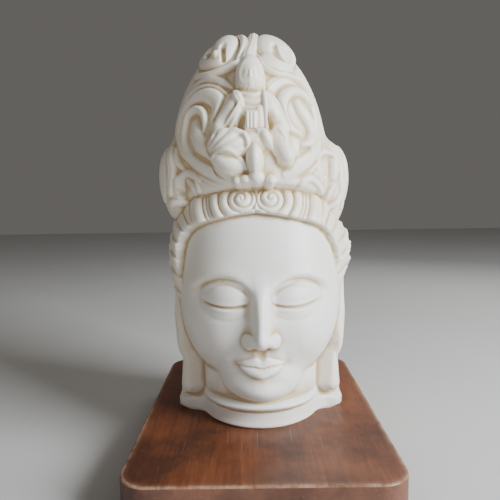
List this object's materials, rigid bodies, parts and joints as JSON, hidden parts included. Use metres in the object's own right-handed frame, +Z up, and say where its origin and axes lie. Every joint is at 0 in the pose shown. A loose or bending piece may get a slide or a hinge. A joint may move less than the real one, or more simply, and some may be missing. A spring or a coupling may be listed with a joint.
{
  "type": "carved stone head",
  "caption": "Carved white marble head of a bodhisattva with a tall scrolled crown, cut flat at the neck, resting on a thick rounded wooden board",
  "frame": {"origin": "middle of the board's underside", "axes": "+Z up, the face looks along -Y, +X to the viewer's right of the face"},
  "size_m": [0.176, 0.237, 0.3187],
  "materials": {
    "marble": "honed, with warm patina in the carving",
    "stained_wood": "stained and oiled, satin"
  },
  "bodies": {
    "root": {"wooden_board": "stained_wood", "marble_head": "marble"}
  },
  "joints": []
}
